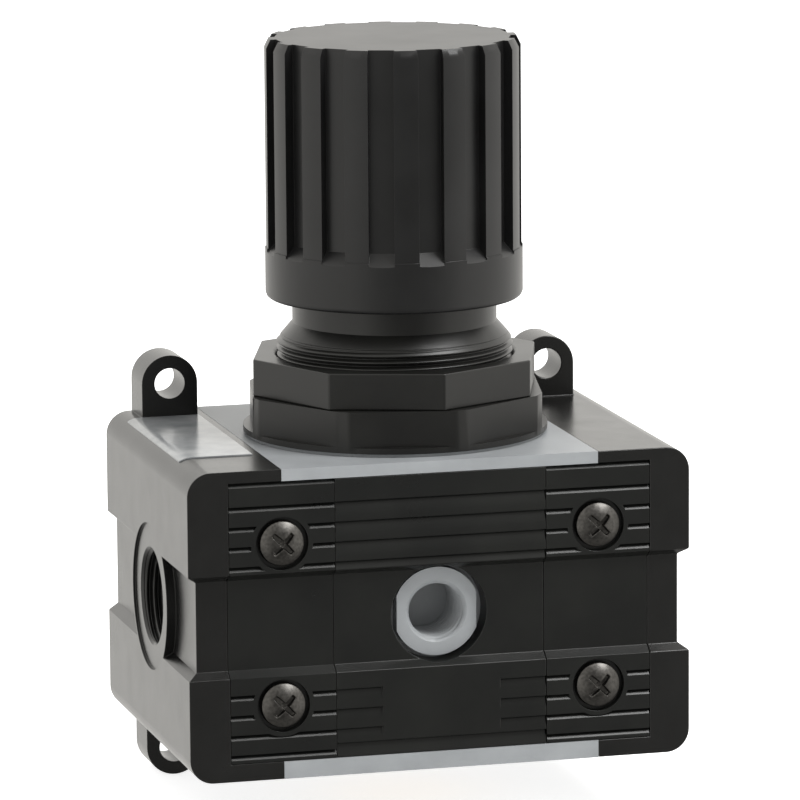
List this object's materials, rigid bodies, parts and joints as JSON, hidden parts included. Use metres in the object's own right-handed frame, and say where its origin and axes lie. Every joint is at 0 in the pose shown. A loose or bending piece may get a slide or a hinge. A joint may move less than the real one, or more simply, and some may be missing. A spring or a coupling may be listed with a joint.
{
  "type": "pneumatic regulator",
  "caption": "Diaphragm pressure regulator with a fluted push-lock knob, a panel nut, a clamped block between ported end plates and wall lugs.",
  "frame": {"origin": "centre of the wall lug pattern, on the rear plane", "axes": "+Z along the knob axis towards the knob, main ports along X, front towards -Y"},
  "size_m": [0.108, 0.0779, 0.163],
  "materials": {
    "cast_body": "satin light grey coat on die-cast metal",
    "black_casting": "semi-gloss black coat on die-cast metal",
    "black_cover": "semi-gloss black moulded plastic",
    "black_bonnet": "semi-gloss black moulded plastic",
    "black_knob": "semi-gloss black moulded plastic",
    "screw_steel": "black zinc on steel",
    "label_foil": "glossy blank foil",
    "steel": "bright zinc",
    "spring_steel": "drawn wire",
    "brass": "turned",
    "seal_rubber": "matt black rubber",
    "plate_aluminium": "turned"
  },
  "bodies": {
    "housing": {"main_body": "cast_body", "right_end_plate": "black_casting", "left_end_plate": "black_casting", "right_port_seal": "seal_rubber", "left_port_seal": "seal_rubber", "front_cover": "black_cover", "rear_cover": "black_cover", "front_right_clamp": "black_cover", "front_left_clamp": "black_cover", "rear_left_clamp": "black_cover", "rear_right_clamp": "black_cover", "clamp_screws": "screw_steel", "clamp_nuts": "steel", "name_label": "label_foil", "bonnet": "black_bonnet", "panel_nut": "black_bonnet", "spindle_washer": "steel", "diaphragm": "seal_rubber", "slip_ring": "steel", "valve_seat": "brass", "valve_spring": "spring_steel", "bottom_plug": "brass", "bottom_plug_seal": "seal_rubber", "stem_seal": "seal_rubber", "rear_gauge_plug": "steel", "gauge_plug_seal": "seal_rubber"},
    "spindle_set": {"spindle": "brass", "spindle_clip": "steel"},
    "knob_set": {"knob": "black_knob"},
    "spring_plate_set": {"spring_plate": "brass"},
    "diaphragm_set": {"diaphragm_upper_plate": "plate_aluminium", "diaphragm_lower_plate": "plate_aluminium", "main_spring": "spring_steel"},
    "valve_set": {"valve_poppet": "brass", "valve_disc": "seal_rubber"}
  },
  "joints": [
    {"name": "knob_turn", "type": "hinge", "parent": "housing", "child": "spindle_set", "pos_m": [0, -0.04, 0.1], "axis": [0, 0, 1], "range_deg": [-2880, 0]},
    {"name": "knob_lock", "type": "slide", "parent": "spindle_set", "child": "knob_set", "axis": [0, 0, 1], "range_m": [-0.003, 0]},
    {"name": "spring_plate_travel", "type": "slide", "parent": "housing", "child": "spring_plate_set", "axis": [0, 0, 1], "range_m": [-0.0121, 0], "deforming": ["main_spring"]},
    {"name": "diaphragm_travel", "type": "slide", "parent": "housing", "child": "diaphragm_set", "axis": [0, 0, 1], "range_m": [-0.0012, 0], "stiffness_N_per_m": 4000, "springref_m": 0.002, "deforming": ["diaphragm"]},
    {"name": "poppet_travel", "type": "slide", "parent": "housing", "child": "valve_set", "axis": [0, 0, 1], "range_m": [-0.00125, 0], "deforming": ["valve_spring"]}
  ],
  "couplings": [
    {"joint": "spring_plate_travel", "follows": "knob_turn", "m_per_rad": 0.00023873},
    {"joint": "poppet_travel", "follows": "diaphragm_travel", "ratio": 1}
  ]
}
